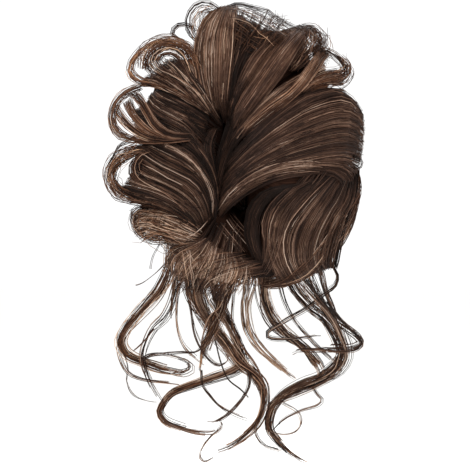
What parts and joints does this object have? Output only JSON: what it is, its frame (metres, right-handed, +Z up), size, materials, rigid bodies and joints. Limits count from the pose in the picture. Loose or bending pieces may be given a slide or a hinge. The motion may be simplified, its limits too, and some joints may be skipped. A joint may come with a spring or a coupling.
{
  "type": "top knot hairpiece",
  "caption": "Messy bun hairpiece on an elastic ring: looped locks gathered at an off-centre parting, a rolled lock round a low hollow, and loose curled tendrils below.",
  "frame": {"origin": "centre of the elastic ring that the wearer's own hair is pulled through", "axes": "+Z up as worn, -Y towards the bun's front as the picture shows it, +Y towards the wearer's head, +X to the right in the picture"},
  "size_m": [0.1518, 0.0778, 0.2687],
  "materials": {
    "hair_brown": "dark brown synthetic hair, soft sheen",
    "hair_warm": "warm brown synthetic hair at the edges and tips",
    "hair_shadow": "deep brown inner hair",
    "elastic_black": "knitted cover over a rubber core"
  },
  "bodies": {
    "root": {"elastic_band": "elastic_black", "centre_twist": "hair_shadow", "lock_top": "hair_brown", "lock_left_high": "hair_warm", "lock_left_mid": "hair_brown", "lock_left_low": "hair_brown", "lock_lower_left": "hair_brown", "lock_gather": "hair_brown", "lock_right_roll": "hair_brown", "lock_right_swoop": "hair_brown", "lock_ridge": "hair_warm", "lock_top_right_outer": "hair_brown", "lock_top_right_inner": "hair_brown", "tendril_1": "hair_warm", "tendril_2": "hair_warm", "tendril_3": "hair_warm", "tendril_4": "hair_warm", "tendril_5": "hair_warm", "tendril_6": "hair_warm", "tendril_7": "hair_warm", "tendril_8": "hair_warm", "tendril_9": "hair_warm", "tendril_10": "hair_warm"}
  },
  "joints": []
}
